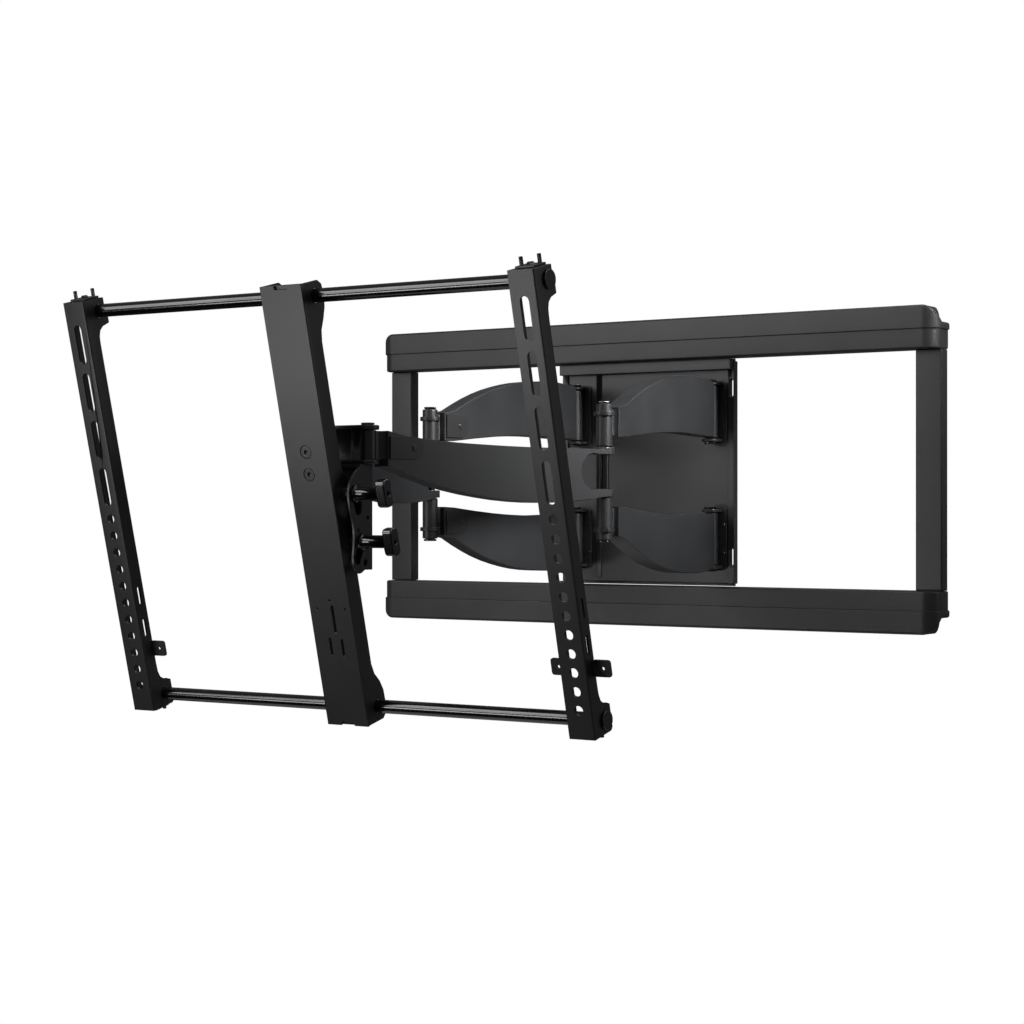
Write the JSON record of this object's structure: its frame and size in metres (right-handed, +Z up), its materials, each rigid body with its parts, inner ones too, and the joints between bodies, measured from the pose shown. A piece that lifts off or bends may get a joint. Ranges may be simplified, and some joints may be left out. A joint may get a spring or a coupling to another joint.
{
  "type": "full motion tv wall mount",
  "caption": "Full motion TV wall mount: twin folding box arms between a covered wall frame and a tilting TV frame with slotted upright brackets on round rods.",
  "frame": {"origin": "centre of the wall frame's back face, on the wall", "axes": "+X to the right as seen from the room, +Y into the wall, +Z up"},
  "size_m": [0.841, 0.7561, 0.4879],
  "materials": {
    "satin_steel": "satin",
    "cover_plastic": "satin",
    "gloss_steel": "gloss",
    "plated_steel": "satin",
    "dark_steel": "matte",
    "black_rubber": "matte"
  },
  "bodies": {
    "wall_frame": {"top_cover": "cover_plastic", "bottom_cover": "cover_plastic", "top_rail": "satin_steel", "bottom_rail": "satin_steel", "left_post": "satin_steel", "right_post": "satin_steel", "top_left_lag_bolt": "plated_steel", "top_right_lag_bolt": "plated_steel", "bottom_left_lag_bolt": "plated_steel", "bottom_right_lag_bolt": "plated_steel"},
    "carriage": {"carriage_plate": "satin_steel", "left_upper_hinge_bracket": "satin_steel", "left_lower_hinge_bracket": "satin_steel", "right_upper_hinge_bracket": "satin_steel", "right_lower_hinge_bracket": "satin_steel", "left_upper_wall_pin": "gloss_steel", "left_lower_wall_pin": "gloss_steel", "right_upper_wall_pin": "gloss_steel", "right_lower_wall_pin": "gloss_steel"},
    "right_wall_arm": {"right_upper_wall_arm": "satin_steel", "right_lower_wall_arm": "satin_steel", "right_upper_elbow_leaf": "dark_steel", "right_lower_elbow_leaf": "dark_steel", "right_upper_elbow_collar": "dark_steel", "right_lower_elbow_collar": "dark_steel", "right_elbow_pin": "gloss_steel"},
    "right_tv_arm_body": {"right_tv_arm": "satin_steel", "right_head_leaf": "dark_steel"},
    "left_wall_arm": {"left_upper_wall_arm": "satin_steel", "left_lower_wall_arm": "satin_steel", "left_upper_elbow_leaf": "dark_steel", "left_lower_elbow_leaf": "dark_steel", "left_upper_elbow_collar": "dark_steel", "left_lower_elbow_collar": "dark_steel", "left_elbow_pin": "gloss_steel"},
    "left_tv_arm_body": {"left_tv_arm": "satin_steel", "left_head_leaf": "dark_steel"},
    "yoke_body": {"yoke": "satin_steel", "right_head_pin": "gloss_steel", "left_head_pin": "gloss_steel"},
    "tilt_head": {"tilt_bracket": "satin_steel", "tilt_bumper": "black_rubber"},
    "tv_frame": {"column_channel": "satin_steel", "column_cover": "satin_steel", "upper_column_screw": "dark_steel", "lower_column_screw": "dark_steel", "top_rod": "gloss_steel", "bottom_rod": "gloss_steel", "upper_tilt_stud": "plated_steel", "lower_tilt_stud": "plated_steel"},
    "upper_knob": {"upper_tilt_knob": "gloss_steel"},
    "lower_knob": {"lower_tilt_knob": "gloss_steel"},
    "left_tv_bracket": {"left_bracket": "satin_steel", "left_top_clamp": "dark_steel", "left_bottom_clamp": "dark_steel"},
    "right_tv_bracket": {"right_bracket": "satin_steel", "right_top_clamp": "dark_steel", "right_bottom_clamp": "dark_steel"}
  },
  "joints": [
    {"name": "carriage_shift", "type": "slide", "parent": "wall_frame", "child": "carriage", "axis": [1, 0, 0], "range_m": [-0.12, 0.12]},
    {"name": "arm_fold", "type": "hinge", "parent": "carriage", "child": "right_wall_arm", "pos_m": [0.1029, -0.0269, 0], "axis": [0, 0, 1], "range_deg": [0, 72.6]},
    {"name": "left_arm_fold", "type": "hinge", "parent": "carriage", "child": "left_wall_arm", "pos_m": [-0.1029, -0.0269, 0], "axis": [0, 0, 1], "range_deg": [-76, 1]},
    {"name": "right_elbow_fold", "type": "hinge", "parent": "right_wall_arm", "child": "right_tv_arm_body", "pos_m": [0.1129, -0.3132, 0], "axis": [0, 0, 1], "range_deg": [-140, 1]},
    {"name": "left_elbow_fold", "type": "hinge", "parent": "left_wall_arm", "child": "left_tv_arm_body", "pos_m": [-0.1422, -0.3107, 0], "axis": [0, 0, 1], "range_deg": [-1, 137]},
    {"name": "head_fold", "type": "hinge", "parent": "right_tv_arm_body", "child": "yoke_body", "pos_m": [0.0177, -0.6521, 0], "axis": [0, 0, 1], "range_deg": [-1, 67.5]},
    {"name": "swivel", "type": "hinge", "parent": "yoke_body", "child": "tilt_head", "pos_m": [-0.0193, -0.6521, 0], "axis": [0, 0, 1], "range_deg": [-10, 10]},
    {"name": "tilt", "type": "hinge", "parent": "tilt_head", "child": "tv_frame", "pos_m": [-0.0193, -0.742, -0.065], "axis": [1, 0, 0], "range_deg": [-14, 1]},
    {"name": "upper_knob_turn", "type": "hinge", "parent": "tv_frame", "child": "upper_knob", "pos_m": [-0.0193, -0.6792, -0.03206], "axis": [1, 0, 0], "continuous": true},
    {"name": "lower_knob_turn", "type": "hinge", "parent": "tv_frame", "child": "lower_knob", "pos_m": [-0.0193, -0.66638, -0.08349], "axis": [1, 0, 0], "continuous": true},
    {"name": "left_bracket_slide", "type": "slide", "parent": "tv_frame", "child": "left_tv_bracket", "axis": [1, 0, 0], "range_m": [0, 0.15]},
    {"name": "right_bracket_slide", "type": "slide", "parent": "tv_frame", "child": "right_tv_bracket", "axis": [-1, 0, 0], "range_m": [0, 0.15]}
  ],
  "couplings": [
    {"joint": "left_arm_fold", "follows": "arm_fold", "ratio": -1.0339},
    {"joint": "right_elbow_fold", "follows": "arm_fold", "ratio": -1.9174},
    {"joint": "left_elbow_fold", "follows": "arm_fold", "ratio": 1.8735},
    {"joint": "head_fold", "follows": "arm_fold", "ratio": 0.9174}
  ]
}
